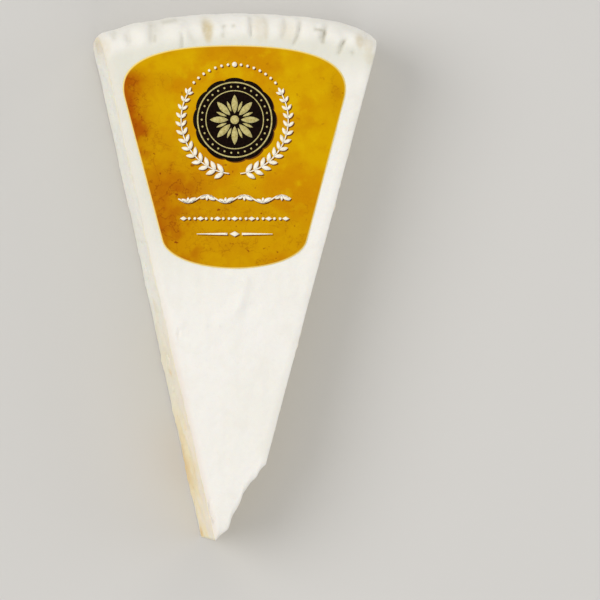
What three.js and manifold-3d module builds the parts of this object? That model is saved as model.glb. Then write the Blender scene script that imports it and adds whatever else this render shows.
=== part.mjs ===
// A wedge of white-rind soft cheese, cut from a flat round wheel, with a paper label on its top face.
// It lies on its bottom rind. Millimetres: +Z up out of the label, +Y from the tip to the rim.
// The plan is drawn about the point where the two long cuts would meet, and centred at the end.

import * as THREE from "three";
import { mergeVertices, toCreasedNormals } from "three/addons/utils/BufferGeometryUtils.js";
import Module from "manifold-3d";

// The wheel
const WHEEL_RADIUS = 177.5;
const WHEEL_THICKNESS = 30;
const WHEEL_CENTRE_X = 7; // the long cuts were aimed a little to the left of the wheel's centre
const SHOULDER_WIDTH = 10; // how far the rounded edge reaches in from the rim
const SHOULDER_POWER = 2.7; // exponent of the rim's superellipse: 2 is an ellipse, more is squarer
const RIM_STEPS = 22;
const TURN_STEPS = 1440; // a quarter of a degree each, 0.77 mm along the rim

// The creases pressed into the rim's top shoulder, each as [degrees from +Y, depth, half width]
const CREASES = [
  [-13.6, 0.6, 1.3],
  [-11.7, 0.5, 1.1],
  [-9.7, 0.9, 1.3],
  [-7.2, 0.7, 1.1],
  [-4.3, 1.1, 1.3],
  [-2.5, 0.5, 1.1],
  [0.0, 0.9, 1.4],
  [1.3, 0.6, 1.1],
  [4.8, 1.1, 1.3],
  [7.2, 1.2, 1.3],
  [9.0, 0.9, 1.2],
  [10.6, 0.5, 1.2],
];
const CREASE_START = 0.05; // share of the shoulder's width, from the flat top, where creases begin
const CREASE_FULL = 0.4; // and where they are full depth
const CREASE_FOOT = 0.15; // share of their depth that is left on the rim's side

// The soft corners where the rim meets the long cuts
const CORNER_REACH = 16;
const CORNER_SET_BACK = 2.4;
const CORNER_DROP = 1.2;

// The cuts, as degrees from +Y and distances from the point where they would meet
const LEFT_CUT_ANGLE = 12.7;
const RIGHT_CUT_ANGLE = 15.1;
const TIP_ON_LEFT = 19.5;
const TIP_ON_RIGHT = 43.3;
const TIP_CUT_HANDLES = [-3.1, 3.0]; // how far the curve's handles stand out from a straight tip cut
const TIP_CUT_STEPS = 14;
const CUT_REACH = 200; // past the rim
const CUT_OVERSHOOT = 2; // above and below the wheel

// The label
const LABEL_LENGTH = 66.9;
const LABEL_FOOT_Y = 100.6;
const LABEL_CENTRE_X = 1.8;
const LABEL_SIDE_LOW = [21.9, 8.3];
const LABEL_SIDE_HIGH = [33.3, 51.1];
const LABEL_TOP_HANDLES = [11.4, 23.7];
const LABEL_FOOT_HANDLES = [5.2, 11];
const LABEL_CURVE_STEPS = 16;
const LABEL_THICKNESS = 0.4;
const LABEL_GAP = 0.3;

// Finishes
const RIND = { color: 0xefebe2, roughness: 0.85, metalness: 0 };
const PAPER = { color: 0xcb9206, roughness: 0.5, metalness: 0 };

const NORMAL_CREASE = THREE.MathUtils.degToRad(35);

const wasm = await Module();
wasm.setup();

// A closed geometry as a solid, with its shared vertices merged and its collapsed triangles dropped.
function solidFrom(geometry) {
  const bare = geometry.clone();
  bare.deleteAttribute("normal");
  bare.deleteAttribute("uv");
  const merged = mergeVertices(bare);
  const corners = merged.index.array;
  const kept = [];
  for (let i = 0; i < corners.length; i += 3) {
    const [a, b, c] = corners.slice(i, i + 3);
    if (a !== b && b !== c && c !== a) kept.push(a, b, c);
  }
  return new wasm.Manifold(
    new wasm.Mesh({
      numProp: 3,
      vertProperties: merged.attributes.position.array,
      triVerts: new Uint32Array(kept),
    }),
  );
}

function geometryFrom(solid) {
  const mesh = solid.getMesh();
  const geometry = new THREE.BufferGeometry();
  geometry.setAttribute("position", new THREE.BufferAttribute(mesh.vertProperties, 3));
  geometry.setIndex(new THREE.BufferAttribute(mesh.triVerts, 1));
  return toCreasedNormals(geometry, NORMAL_CREASE);
}

// The point at a distance along a cut, whose angle is turned from +Y towards +X.
function alongCut(degrees, distance) {
  const turn = THREE.MathUtils.degToRad(degrees);
  return new THREE.Vector2(Math.sin(turn), Math.cos(turn)).multiplyScalar(distance);
}

// The wheel's half profile, from the axis along the bottom, round the rim and back along the top.
// The rim is half a superellipse: |u|^p + |v|^p = 1 across the shoulder and the thickness.
function wheelProfile() {
  const half = WHEEL_THICKNESS / 2;
  const flat = WHEEL_RADIUS - SHOULDER_WIDTH;
  const points = [new THREE.Vector2(0, 0)];
  for (let i = 0; i <= RIM_STEPS; i += 1) {
    const t = Math.PI * (i / RIM_STEPS - 0.5);
    const u = Math.max(Math.cos(t), 0) ** (2 / SHOULDER_POWER);
    const v = Math.sign(t) * Math.abs(Math.sin(t)) ** (2 / SHOULDER_POWER);
    points.push(new THREE.Vector2(flat + SHOULDER_WIDTH * u, half * (1 + v)));
  }
  points.push(new THREE.Vector2(0, WHEEL_THICKNESS));
  return points;
}

// How deep the creases are at a place round the rim: the deepest of their bell-shaped hollows.
function creaseDepth(angle) {
  const depths = CREASES.map(([centre, depth, halfWidth]) => {
    const off = THREE.MathUtils.degToRad(angle - centre) * WHEEL_RADIUS;
    return depth * Math.exp(-((off / halfWidth) ** 2));
  });
  return Math.max(...depths);
}

// How far inside the nearer long cut a point of the plan lies.
function insideCuts(x, y) {
  const left = alongCut(-LEFT_CUT_ANGLE, 1);
  const right = alongCut(RIGHT_CUT_ANGLE, 1);
  return Math.max(0, Math.min(x * left.y - y * left.x, y * right.x - x * right.y));
}

// Presses the creases into the rim and lets its two corners sink, vertex by vertex.
function shapeRim(geometry) {
  const half = WHEEL_THICKNESS / 2;
  const position = geometry.attributes.position;
  for (let i = 0; i < position.count; i += 1) {
    const x = position.getX(i);
    const y = position.getY(i);
    const z = position.getZ(i);
    const radius = Math.hypot(x, y);
    const u = (radius - (WHEEL_RADIUS - SHOULDER_WIDTH)) / SHOULDER_WIDTH;
    if (u <= 0) continue;
    const v = z / half - 1;
    const normal = new THREE.Vector2(
      u ** (SHOULDER_POWER - 1) / SHOULDER_WIDTH,
      (Math.sign(v) * Math.abs(v) ** (SHOULDER_POWER - 1)) / half,
    ).normalize();
    const angle = THREE.MathUtils.radToDeg(Math.atan2(x, y));
    const onTop = THREE.MathUtils.smoothstep(u, CREASE_START, CREASE_FULL);
    const downRim = THREE.MathUtils.lerp(CREASE_FOOT, 1, THREE.MathUtils.smoothstep(v, 0.1, 0.8));
    const underside = THREE.MathUtils.smoothstep(v, -1, -0.6);
    const press = creaseDepth(angle) * onTop * downRim * underside;
    const nearCut = insideCuts(x + WHEEL_CENTRE_X, y) / CORNER_REACH;
    const sink = u * Math.max(0, 1 - nearCut) ** 2;
    const newRadius = radius - press * normal.x - CORNER_SET_BACK * sink;
    const newZ = z - press * normal.y - CORNER_DROP * sink * Math.max(0, v);
    position.setXYZ(i, (x * newRadius) / radius, (y * newRadius) / radius, newZ);
  }
}

function makeWheel() {
  const geometry = new THREE.LatheGeometry(wheelProfile(), TURN_STEPS);
  geometry.rotateX(Math.PI / 2);
  shapeRim(geometry);
  geometry.translate(WHEEL_CENTRE_X, 0, 0);
  return geometry;
}

// The block that the knife leaves: two long straight cuts, and a hand cut with a slight wave that
// takes off the tip.
function makeCutBlock() {
  const leftTip = alongCut(-LEFT_CUT_ANGLE, TIP_ON_LEFT);
  const rightTip = alongCut(RIGHT_CUT_ANGLE, TIP_ON_RIGHT);
  const leftEnd = alongCut(-LEFT_CUT_ANGLE, CUT_REACH);
  const rightEnd = alongCut(RIGHT_CUT_ANGLE, CUT_REACH);
  const across = leftTip.clone().sub(rightTip);
  const outward = new THREE.Vector2(-across.y, across.x).normalize();
  const handle = (share, stand) =>
    rightTip.clone().addScaledVector(across, share).addScaledVector(outward, stand);
  const first = handle(1 / 3, TIP_CUT_HANDLES[0]);
  const second = handle(2 / 3, TIP_CUT_HANDLES[1]);
  const plan = new THREE.Shape();
  plan.moveTo(leftTip.x, leftTip.y);
  plan.lineTo(leftEnd.x, leftEnd.y);
  plan.lineTo(rightEnd.x, rightEnd.y);
  plan.lineTo(rightTip.x, rightTip.y);
  plan.bezierCurveTo(first.x, first.y, second.x, second.y, leftTip.x, leftTip.y);
  const geometry = new THREE.ExtrudeGeometry(plan, {
    depth: WHEEL_THICKNESS + 2 * CUT_OVERSHOOT,
    bevelEnabled: false,
    curveSegments: TIP_CUT_STEPS,
  });
  geometry.translate(0, 0, -CUT_OVERSHOOT);
  return geometry;
}

function makeWedge() {
  const wedge = solidFrom(makeWheel()).intersect(solidFrom(makeCutBlock()));
  const mesh = new THREE.Mesh(geometryFrom(wedge), new THREE.MeshStandardMaterial(RIND));
  mesh.name = "cheese_wedge";
  return mesh;
}

// The label's outline about the middle of its foot: straight tapered sides, with one smooth curve
// over the top and one under the foot, drawn anticlockwise from the middle of the foot.
function labelOutline() {
  const [lowX, lowY] = LABEL_SIDE_LOW;
  const [highX, highY] = LABEL_SIDE_HIGH;
  const side = new THREE.Vector2(highX - lowX, highY - lowY).normalize();
  const [shoulder, crown] = LABEL_TOP_HANDLES;
  const [heel, sole] = LABEL_FOOT_HANDLES;
  const heelX = lowX - side.x * heel;
  const heelY = lowY - side.y * heel;
  const shoulderX = highX + side.x * shoulder;
  const shoulderY = highY + side.y * shoulder;
  const outline = new THREE.Shape();
  outline.moveTo(0, 0);
  outline.bezierCurveTo(sole, 0, heelX, heelY, lowX, lowY);
  outline.lineTo(highX, highY);
  outline.bezierCurveTo(shoulderX, shoulderY, crown, LABEL_LENGTH, 0, LABEL_LENGTH);
  outline.bezierCurveTo(-crown, LABEL_LENGTH, -shoulderX, shoulderY, -highX, highY);
  outline.lineTo(-lowX, lowY);
  outline.bezierCurveTo(-heelX, heelY, -sole, 0, 0, 0);
  return outline;
}

function makeLabel() {
  const geometry = new THREE.ExtrudeGeometry(labelOutline(), {
    depth: LABEL_THICKNESS,
    bevelEnabled: false,
    curveSegments: LABEL_CURVE_STEPS,
  });
  const mesh = new THREE.Mesh(geometry, new THREE.MeshStandardMaterial(PAPER));
  mesh.name = "label";
  mesh.position.set(LABEL_CENTRE_X, LABEL_FOOT_Y, WHEEL_THICKNESS + LABEL_GAP);
  return mesh;
}

// The finished piece, moved so that the origin is under the middle of its bounding box.
const wedge = makeWedge();
const label = makeLabel();
const plan = new THREE.Group();
plan.add(wedge, label);
const middle = new THREE.Box3().setFromObject(plan).getCenter(new THREE.Vector3());
plan.position.set(-middle.x, -middle.y, 0);

const cheese = new THREE.Group();
cheese.add(plan);

export default cheese;
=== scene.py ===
import math

import bpy
import numpy as np
from mathutils import Matrix, Vector


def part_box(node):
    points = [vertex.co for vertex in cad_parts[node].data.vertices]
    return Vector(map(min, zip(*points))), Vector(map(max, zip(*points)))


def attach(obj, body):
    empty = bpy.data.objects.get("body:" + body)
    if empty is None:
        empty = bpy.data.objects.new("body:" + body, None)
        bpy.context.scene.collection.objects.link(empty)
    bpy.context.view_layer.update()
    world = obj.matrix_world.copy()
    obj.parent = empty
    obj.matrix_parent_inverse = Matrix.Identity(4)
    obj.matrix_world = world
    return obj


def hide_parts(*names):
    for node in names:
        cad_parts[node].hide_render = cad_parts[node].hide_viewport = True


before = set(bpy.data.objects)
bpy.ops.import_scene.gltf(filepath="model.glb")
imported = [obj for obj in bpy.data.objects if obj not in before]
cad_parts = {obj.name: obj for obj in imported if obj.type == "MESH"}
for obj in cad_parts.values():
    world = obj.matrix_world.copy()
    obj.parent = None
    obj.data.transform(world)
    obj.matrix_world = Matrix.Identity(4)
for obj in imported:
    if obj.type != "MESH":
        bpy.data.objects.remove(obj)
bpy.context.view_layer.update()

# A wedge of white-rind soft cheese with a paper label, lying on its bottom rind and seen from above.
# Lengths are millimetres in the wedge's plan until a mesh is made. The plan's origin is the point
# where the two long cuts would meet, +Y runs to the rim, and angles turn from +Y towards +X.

MM = 0.001

# The wheel and its cuts, as the CAD has them
WHEEL_RADIUS = 177.5
WHEEL_THICKNESS = 30
WHEEL_CENTRE_X = 7
SHOULDER_WIDTH = 10
SHOULDER_POWER = 2.7
LEFT_CUT = math.radians(-12.7)
RIGHT_CUT = math.radians(15.1)
TIP_ON_LEFT = 19.5
TIP_ON_RIGHT = 43.3
TIP_CUT_HANDLES = (-3.1, 3.0)
CORNER_REACH = 16
CORNER_SET_BACK = 2.4
CORNER_DROP = 1.2

# The label, as the CAD has it
LABEL_LENGTH = 66.9
LABEL_FOOT_Y = 100.6
LABEL_CENTRE_X = 1.8
LABEL_SIDE_LOW = (21.9, 8.3)
LABEL_SIDE_HIGH = (33.3, 51.1)
LABEL_TOP_HANDLES = (11.4, 23.7)
LABEL_FOOT_HANDLES = (5.2, 11.0)
PAPER_THICKNESS = 0.17
PAPER_SUNK = 0.03  # how far the paper's underside is pressed into the rind
PAPER_RINGS = 60
PRINT_THICKNESS = 0.03

# The label's print: a medallion in a wreath, over a vine, a row of beads and a short rule
MEDALLION_CENTRE = (1.8, 145.2)
MEDALLION_RADIUS = 12.6
MEDALLION_STEPS = 240
SCALLOPS = 12
SCALLOP_DEPTH = 0.6
GOLD_RINGS = ((11.2, 0.2), (8.7, 0.14))  # radius, half width
RING_BEADS = (30, 9.95, 0.3)  # how many, the circle that they stand on, their radius
PETALS = ((1.9, 5.6, 1.9), (2.6, 3.4, 0.8))  # long and short: how far out, length, width
PETAL_COUNT = 16
BOSS_RADIUS = 1.3
WREATH_RADIUS = 16.2
WREATH_SWEEP = (12, 118)  # degrees from the medallion's foot
WREATH_PAIRS = 13
WREATH_LEAF = (3.3, 1.35)  # length and width of the lowest leaves
WREATH_END_LEAF = (2.4, 0.9)
LEAF_LEAN = 0.75
STEM_HALF_WIDTH = 0.16
TOP_ARC = 48  # degrees to each side of the medallion's top that are dotted
TOP_DOTS = 15
DOT_RADIUS = 0.4
MIDDLE_DOT_RADIUS = 0.75
VINE_Y = 121.5
VINE_HALF_LENGTH = 17
VINE_HALF_WIDTH = 0.2
VINE_HEIGHT = 1.1
VINE_WAVES = 3
# A vine's three leaves at a crest, as [turn, swing, length, width]
VINE_LEAVES = ((0, -0.5, 3.0, 1.3), (math.pi, 0.5, 2.2, 1.0), (0, -1.5, 1.6, 0.8))
BEAD_Y = 115.6
BEAD_PITCH = 1.72
BEAD_RADIUS = 0.42
BEAD_LOZENGE = (1.1, 0.62)  # half length, half height
BEADS = 9  # to each side of the middle one
RULE_Y = 111.0
RULE_REACH = (2.2, 11.5)  # from its middle
RULE_HALF_WIDTHS = (0.34, 0.1)
RULE_LOZENGE = (1.5, 0.8)
SHADE_SHIFT = (0.32, -0.32)

# How far each print stands above the paper
CREAM_LIFT = 0.03
SHADE_LIFT = 0.015
MEDALLION_SHADE_LIFT = 0.012
DARK_LIFT = 0.03
GOLD_LIFT = 0.05

# The plan's origin in the row frame, from where the CAD's label lies
label_low, label_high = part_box("label")
PLAN_X = (label_low.x + label_high.x) / 2 / MM - LABEL_CENTRE_X
PLAN_Y = label_low.y / MM - LABEL_FOOT_Y

# How finely the wedge is meshed
COLUMNS = 196  # across the wedge, halved twice underneath
FLAT_ROWS = 196  # from the tip's cut to the shoulder
SHOULDER_ROWS = 50  # from the flat top to the rim's widest line
FACE_STEPS = 44  # down a cut face
HALVING_ROWS = (30, 34)  # rows below the rim's widest line where the columns are halved
TIP_HALVING_ROWS = (38, 41)  # the same for rows down the tip's cut
RIND, PASTE = 0, 1  # which material a face takes

# Random fields, as [height, shortest wave, longest wave, how many waves, seed]; the paste's take other seeds
SWELL = (0.16, 24, 60, 14, 3)
MOTTLE = (0.06, 4, 10, 40, 5)
VELVET = (0.02, 1.8, 3.2, 60, 7)
CREASE_SWAY = (0.3, 8, 20, 8, 11)
WRINKLES = (0.14, 2.5, 8, 24, 13)
SMEAR_EDGE = (0.1, 4, 12, 16, 61)
BLOOM_EDGE = (4, 8, 24, 16, 63)
PASTE_LUMPS = (0.13, 5, 14, 30)
PASTE_GRAIN = (0.05, 1.6, 3.5, 40)
KNIFE_DRAG = (0.045, 0.9, 3, 24)

# Creases pressed into the rim, as [degrees about the wheel's centre, from and to how far inward of the
# rim's widest line, depth, width, slant, strength of the painted shade in the crease]
CREASES = (
    (-13.7, 0.5, 3.6, 0.35, 1.2, 0.3, 0.25), (-12.4, 1.6, 6.0, 0.4, 1.1, 0.1, 0.2),
    (-9.8, 0.4, 7.2, 0.7, 1.5, 0.17, 0.4), (-8.3, -1.0, 2.5, 0.35, 1.6, 0.0, 0.1),
    (-7.2, 4.4, 9.4, 0.35, 1.1, 0.1, 0.15), (-6.0, 5.0, 8.0, 0.3, 1.4, 0.1, 0.15),
    (-4.5, 0.8, 8.4, 0.4, 1.7, 0.05, 0.0), (-2.6, 3.5, 7.0, 0.25, 1.0, 0.1, 0.1),
    (0.1, 0.8, 7.4, 0.6, 0.9, 0.05, 0.2), (1.5, 0.5, 8.8, 0.35, 1.6, 0.05, 0.15),
    (3.4, 1.0, 8.4, 0.5, 1.2, 0.3, 0.1), (4.9, 1.8, 8.4, 0.7, 0.8, 0.25, 0.2),
    (7.4, 2.2, 7.2, 0.9, 1.0, 0.3, 0.4), (9.2, 5.2, 9.4, 0.75, 0.8, 0.45, 0.4),
    (9.9, -1.0, 3.0, 0.3, 1.5, 0.0, 0.1), (11.6, 1.0, 6.0, 0.35, 1.4, 0.2, 0.1),
)

# Where the tip's cut wanders off its plain line, as [share from its right end, how far out, half length]
TIP_WANDERS = (
    (0.17, 0.6, 0.07), (0.4, -0.3, 0.06), (0.66, -0.4, 0.08), (0.81, 0.45, 0.06), (0.94, -0.3, 0.06),
)

# Strokes on the top, as [from x, y, to x, y, half width, height]: ridges above 0, nicks below
STROKES = (
    (0.9, 98.4, 5.2, 96.9, 1.6, 0.3), (5.2, 96.9, 3.7, 89.7, 1.4, 0.28), (3.7, 89.7, -3.6, 84.2, 1.8, 0.22),
    (-20.3, 93.2, -14.5, 84.0, 1.5, 0.28), (-14.5, 84.0, -16.3, 79.5, 1.5, 0.25),
    (-15.1, 82.5, -15.1, 80.4, 0.5, -0.3), (-6.0, 31.1, -6.0, 27.2, 0.5, -0.35),
    (-6.0, 27.2, -4.5, 25.1, 0.5, -0.35), (-13.6, 171.0, -13.6, 166.8, 0.6, -0.4),
    (7.2, 173.7, 7.2, 170.3, 0.5, -0.45), (21.6, 173.1, 19.9, 168.0, 0.55, -0.5),
    (26.9, 172.8, 29.7, 172.0, 0.6, -0.4), (29.7, 172.0, 28.6, 168.8, 0.6, -0.5),
    (35.0, 169.2, 33.2, 165.1, 0.6, -0.45),
)

# Low lumps and dents on the top, as [x, y, half length in x, in y, height]
LUMPS = (
    (6.1, 89.4, 2.6, 4.0, -0.42), (-2.4, 78.9, 1.8, 2.6, -0.3), (-7.8, 92.7, 6.0, 8.0, -0.22),
    (3.1, 172.2, 3.4, 4.0, 0.3), (14.0, 171.6, 1.6, 3.2, 0.35), (32.7, 171.0, 2.6, 1.9, 0.3),
    (-1.1, 173.3, 0.6, 0.6, -0.35), (1.7, 173.3, 0.6, 0.6, -0.35), (-1.6, 170.2, 0.5, 0.5, -0.25),
    (37.9, 165.8, 0.8, 0.8, -0.3),
)

# Tan marks on the rind, as [x, y, half length in x, in y, strength]
TAN_MARKS = (
    (-6.1, 171.9, 1.7, 3.8, 0.95), (9.6, 172.6, 2.2, 4.2, 0.3), (11.3, 172.4, 1.0, 4.0, 0.35),
    (18.0, 171.4, 2.6, 3.4, 0.25), (-39.4, 168.0, 1.5, 3.2, 0.85), (-37.4, 166.6, 2.2, 3.0, 0.3),
    (40.0, 168.8, 1.3, 2.4, 0.6), (42.6, 167.4, 1.8, 2.6, 0.4), (42.9, 163.8, 1.8, 2.0, 0.3),
    (-35.2, 148.0, 1.0, 2.4, 0.35), (-19.6, 84.6, 1.0, 1.0, 0.3),
)

# Painted shade in the nicks, dents and creases of the rind, as olive-grey strokes: [from x, y, to x, y, half
# width, strength]
PAINTED_SHADE_MARKS = (
    (26.4, 172.4, 29.4, 172.1, 0.5, 0.7), (29.4, 172.1, 28.7, 168.6, 0.6, 0.9),
    (35.2, 168.8, 33.4, 165.2, 0.45, 0.8), (21.1, 170.6, 20.0, 168.2, 0.45, 0.5),
    (7.1, 174.6, 6.9, 170.6, 0.5, 0.2), (-22.3, 173.9, -22.3, 170.6, 1.4, 0.35),
    (-22.1, 170.4, -22.3, 168.8, 0.7, 0.6), (-18.7, 174.5, -15.4, 175.1, 0.8, 0.5),
    (-13.9, 173.3, -14.1, 170.6, 0.7, 0.15), (-14.1, 169.6, -14.3, 167.0, 0.7, 0.3),
    (-12.1, 170.9, -10.5, 168.6, 1.1, 0.25), (-33.6, 171.5, -34.2, 169.7, 0.7, 0.35),
    (-29.6, 171.8, -29.6, 168.4, 0.6, 0.25), (-1.0, 173.3, -0.9, 173.3, 0.6, 0.6),
    (1.7, 173.4, 1.8, 173.4, 0.6, 0.5), (-1.6, 170.9, -1.6, 170.2, 0.7, 0.4),
    (37.5, 165.4, 37.7, 165.3, 0.6, 0.5), (-6.2, 30.0, -6.0, 27.2, 0.35, 0.5),
    (-6.0, 27.2, -4.6, 24.6, 0.35, 0.5),
)

# Orange-brown marks on the left cut, the strongest low by its foot, as [distance along the cut, height, half
# length, half height, strength]
LEFT_CUT_MARKS = (
    (43.5, 3.0, 8.0, 9.0, 0.6), (51.5, 9.0, 5.0, 9.0, 0.2), (40.5, 1.5, 4.5, 4.0, 0.8),
    (41.0, 21.0, 2.6, 3.0, 0.25), (70.9, 18.0, 1.0, 2.0, 0.5), (20.5, 2.0, 2.4, 4.0, 0.8),
)

# A tan mark on the left cut where it meets the rim, in the same terms
LEFT_CORNER_TAN = ((172.0, 19.0, 3.4, 12.0, 0.75),)

# Where a long cut's tones change, as distances along it
BLOOMED = (76, 92)  # from bare paste to paste whitened like the rind
WARM = (64, 50)  # from pale paste to warm paste

# How the left cut is wrung: its top edge moves right by the tip, and its foot by the rim
TOP_EDGE_SHIFT = 0.5
FOOT_SHIFT = 0.42

# How the rind's edge rolls over beside a cut: how deep, how much deeper on the left, and how wide
EDGE_ROLL = 0.75
LEFT_EDGE_ROLL = 0.35
EDGE_ROLL_WIDTH = 2.6

# The long cuts, as [column of rays, turn, side that it faces, seed, how whitened, orange-brown marks, tan
# marks]
LONG_CUTS = (
    (0, LEFT_CUT, -1, 41, 1, LEFT_CUT_MARKS, LEFT_CORNER_TAN),
    (-1, RIGHT_CUT, 1, 47, 0.1, (), ()),
)
CUT_BELLY = 0.4  # how far a cut bulges between the rinds
EYE_DEPTH = 0.9
EYE_HEIGHTS = (4, 14, 26)  # least, likeliest, greatest
EYE_SIZES = (0.7, 1.0, 2.2)
LONG_CUT_EYES = 12
LONG_CUT_EYE_REACH = (30, 160)
CORNER_FADE = (0.03, 0.62)  # where the cuts' relief grows from none, as heights over the thickness

# The tip's cut
TIP_SEED = 31
TIP_EYES = 5
TIP_EYE_MARGIN = 4
TIP_RELIEF = 0.6  # of the long cuts' relief
TIP_ALONG = 30.0  # the distance along the long cuts whose tones it has


def smoothstep(value, low, high):
    """0 below low, 1 above high, and 3t^2 - 2t^3 between."""
    t = np.clip((value - low) / (high - low), 0, 1)
    return t * t * (3 - 2 * t)


def waves(points, height, shortest, longest, count, seed):
    """A gentle random field in space: the sum of plane waves whose lengths, directions and phases come
    from a seeded draw, scaled to a spread of about the height."""
    draw = np.random.default_rng(seed)
    turns = draw.normal(size=(count, 3))
    turns *= (2 * np.pi / (np.linalg.norm(turns, axis=1) * draw.uniform(shortest, longest, count)))[:, None]
    phases = draw.uniform(0, 2 * np.pi, count)
    total = np.zeros(points.shape[:-1])
    for turn, phase in zip(turns, phases):
        total += np.sin(points @ turn + phase)
    return height * (total / math.sqrt(count / 2))


def bezier(corners, steps):
    """A cubic Bezier curve's points: the four corners weighted by (1-t)^3, 3t(1-t)^2, 3t^2(1-t), t^3."""
    t = np.linspace(0, 1, steps + 1)[:, None]
    a, b, c, d = (np.array(corner, float) for corner in corners)
    return a * (1 - t) ** 3 + 3 * b * t * (1 - t) ** 2 + 3 * c * t**2 * (1 - t) + d * t**3


def along_cut(turn, distance):
    """The point of the plan at a distance along a ray turned from +Y towards +X."""
    return np.array([math.sin(turn), math.cos(turn)]) * distance


def stack(*parts):
    """Points from their coordinates, each spread to the same layout first."""
    return np.stack(np.broadcast_arrays(*parts), axis=-1)


class Skin:
    """Gathers vertices, named vertex values and triangles as arrays, and makes one closed mesh of them."""

    def __init__(self):
        self.points, self.values, self.faces, self.looks, self.count = [], {}, [], [], 0

    def add(self, points, **values):
        """Adds an array of points, with their values, and returns their numbers in the same layout."""
        flat = points.reshape(-1, 3)
        for name, value in values.items():
            block = np.broadcast_to(value, points.shape[:-1]).ravel()
            self.values.setdefault(name, []).append((self.count, block))
        self.points.append(flat)
        numbers = np.arange(self.count, self.count + len(flat)).reshape(points.shape[:-1])
        self.count += len(flat)
        return numbers

    def triangles(self, a, b, c, look=RIND):
        """Adds a triangle for each three vertex numbers, anticlockwise as seen from outside."""
        found = np.stack([a.ravel(), b.ravel(), c.ravel()], axis=1)
        self.faces.append(found)
        self.looks.append(np.full(len(found), look))

    def grid(self, numbers, look=RIND, turned=False):
        """Fills a grid of vertex numbers. Its faces look along (columns x rows), or the other way
        if turned."""
        a, b, c, d = numbers[:-1, :-1], numbers[:-1, 1:], numbers[1:, 1:], numbers[1:, :-1]
        if turned:
            b, d = d, b
        self.triangles(a, b, c, look)
        self.triangles(a, c, d, look)

    def halve(self, fine, coarse, look, turned):
        """Joins a row of 2n+1 vertices to the next row of n+1, with three triangles for two steps."""
        if turned:
            fine, coarse = fine[::-1], coarse[::-1]
        first, middle, last = fine[:-1:2], fine[1::2], fine[2::2]
        left, right = coarse[:-1], coarse[1:]
        self.triangles(first, middle, left, look)
        self.triangles(left, middle, right, look)
        self.triangles(middle, last, right, look)

    def thinning_rows(self, start, points, halving_rows, end=None, look=RIND, turned=False, values=None):
        """Adds and fills rows of points between a start row and an end row that are there already. At each
        halving row the columns become half as many. Returns the vertex numbers in bands of like columns."""
        bands = []
        for halvings, rows in enumerate(np.split(np.arange(len(points)), halving_rows)):
            step = 2**halvings
            part = {name: value[rows, ::step] for name, value in (values or {}).items()}
            bands.append(self.add(points[rows, ::step], **part))
        bands[0] = np.concatenate([start, bands[0]])
        if end is not None:
            bands[-1] = np.concatenate([bands[-1], end])
        for place, band in enumerate(bands):
            if place:
                self.halve(bands[place - 1][-1], band[0], look, turned)
            self.grid(band, look, turned)
        return bands

    def make(self, name, materials):
        """One mesh of all that was gathered, moved from the plan to the row frame, in metres."""
        points = np.concatenate(self.points)
        shift = np.array([PLAN_X, PLAN_Y, 0])
        mesh = bpy.data.meshes.new(name)
        mesh.from_pydata((points + shift) * MM, [], np.concatenate(self.faces))
        for value_name, blocks in self.values.items():
            whole = np.zeros(self.count, np.float32)
            for start, block in blocks:
                whole[start : start + len(block)] = block
            mesh.attributes.new(value_name, "FLOAT", "POINT").data.foreach_set("value", whole)
        for material in materials:
            mesh.materials.append(material)
        mesh.polygons.foreach_set("material_index", np.concatenate(self.looks).astype(np.int32))
        mesh.polygons.foreach_set("use_smooth", np.ones(len(mesh.polygons), bool))
        mesh.update()
        piece = bpy.data.objects.new(name, mesh)
        bpy.context.scene.collection.objects.link(piece)
        return piece


# The wedge's shape


def ray_length(turn, radius):
    """How far along a ray a circle about the wheel's centre is met, from |ray point - centre| = radius."""
    toward = WHEEL_CENTRE_X * np.sin(turn)
    return toward + np.sqrt(toward**2 - WHEEL_CENTRE_X**2 + radius**2)


def tip_length(turn):
    """How far along a ray the tip's cut is met: a Bezier curve between the two long cuts, with a few low
    bells where the knife wandered, read by angle."""
    right, left = along_cut(RIGHT_CUT, TIP_ON_RIGHT), along_cut(LEFT_CUT, TIP_ON_LEFT)
    across = left - right
    outward = np.array([-across[1], across[0]]) / np.linalg.norm(across)
    first = right + across / 3 + outward * TIP_CUT_HANDLES[0]
    second = right + across * 2 / 3 + outward * TIP_CUT_HANDLES[1]
    curve = bezier((left, second, first, right), 400)
    share = np.linspace(1, 0, 401)
    for centre, out, half in TIP_WANDERS:
        curve = curve + outward * (out * np.exp(-(((share - centre) / half) ** 2)))[:, None]
    return np.interp(turn, np.arctan2(curve[:, 0], curve[:, 1]), np.hypot(curve[:, 0], curve[:, 1]))


def shoulder_profile():
    """Half the rim's superellipse u^p + v^p = 1, from the flat top to the widest line, in equal steps."""
    t = np.linspace(0, np.pi / 2, 2000)
    u, v = np.sin(t) ** (2 / SHOULDER_POWER), np.cos(t) ** (2 / SHOULDER_POWER)
    length = np.hypot(np.diff(u) * SHOULDER_WIDTH, np.diff(v) * WHEEL_THICKNESS / 2).cumsum()
    even = np.interp(np.linspace(0, length[-1], SHOULDER_ROWS + 1), np.append(0, length), t)
    return np.sin(even) ** (2 / SHOULDER_POWER), np.maximum(np.cos(even), 0) ** (2 / SHOULDER_POWER)


def about_wheel(x, y):
    """A point of the plan as its turn about the wheel's centre and its distance from it."""
    return np.arctan2(x - WHEEL_CENTRE_X, y), np.hypot(x - WHEEL_CENTRE_X, y)


def inside_cuts(x, y):
    """How far inside the left and inside the right long cut a point of the plan lies."""
    left, right = along_cut(LEFT_CUT, 1), along_cut(RIGHT_CUT, 1)
    return np.maximum(x * left[1] - y * left[0], 0), np.maximum(y * right[0] - x * right[1], 0)


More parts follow.
